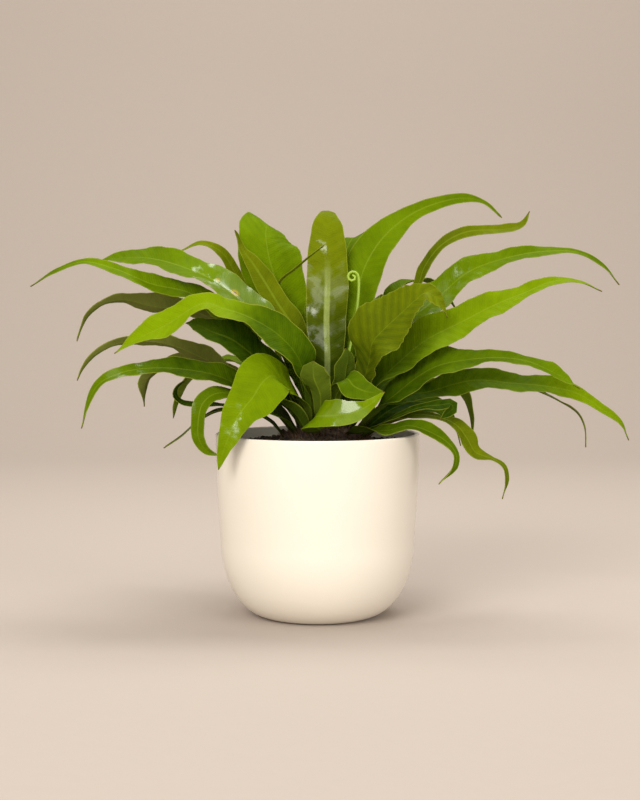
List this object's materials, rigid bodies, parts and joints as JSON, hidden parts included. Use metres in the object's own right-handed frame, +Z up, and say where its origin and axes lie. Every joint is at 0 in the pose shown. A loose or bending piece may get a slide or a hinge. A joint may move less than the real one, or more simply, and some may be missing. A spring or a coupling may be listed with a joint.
{
  "type": "potted bird's nest fern",
  "caption": "Bird's nest fern with long strap fronds, growing from a crown in the soil of a plain cream pot.",
  "frame": {"origin": "centre of the pot's flat base, on the surface it stands on", "axes": "+Z up along the pot's axis; the plant is seen from -Y, with +X to the right"},
  "size_m": [0.5962, 0.3458, 0.4248],
  "materials": {
    "pot": "smooth matt cream glaze",
    "soil": "loose dark potting soil",
    "crown": "dark fibrous rhizome",
    "frond_bright": "waxy yellow-green leaf",
    "frond_deep": "waxy deep green leaf",
    "frond_olive": "dull olive leaf"
  },
  "bodies": {
    "root": {"pot": "pot", "soil": "soil", "crown": "crown", "frond_left_top": "frond_deep", "frond_left_long": "frond_deep", "frond_left_behind": "frond_olive", "frond_left_bright": "frond_bright", "frond_left_shaded": "frond_deep", "frond_left_low_olive": "frond_olive", "frond_left_low": "frond_deep", "frond_left_drooping": "frond_olive", "frond_left_curly": "frond_deep", "frond_left_loop": "frond_deep", "frond_left_tail": "frond_olive", "frond_front_left": "frond_bright", "frond_front_short": "frond_olive", "frond_front_deep": "frond_deep", "frond_front_low": "frond_deep", "frond_front_bright": "frond_bright", "frond_front_upper": "frond_deep", "frond_upright_centre": "frond_deep", "frond_upright_broad": "frond_deep", "frond_upright_olive": "frond_olive", "frond_thin_arch": "frond_deep", "frond_thin_whip": "frond_olive", "frond_arching_right": "frond_deep", "frond_thin_curve": "frond_olive", "frond_pleated": "frond_bright", "frond_right_top": "frond_deep", "frond_right_bright": "frond_bright", "frond_right_middle": "frond_deep", "frond_right_long": "frond_bright", "frond_right_thin": "frond_olive", "frond_right_kinked": "frond_deep", "frond_right_trailing": "frond_olive", "frond_right_over_rim": "frond_deep", "frond_back_tall": "frond_deep", "frond_back_inner": "frond_bright", "frond_back_right_high": "frond_deep", "frond_back_right": "frond_bright", "frond_back_left_high": "frond_deep", "frond_back_left": "frond_bright", "frond_back_low_left": "frond_deep", "frond_back_low": "frond_deep", "frond_back_low_right": "frond_deep", "frond_back_side": "frond_deep", "frond_back_low_side": "frond_deep", "crozier": "frond_bright"}
  },
  "joints": []
}
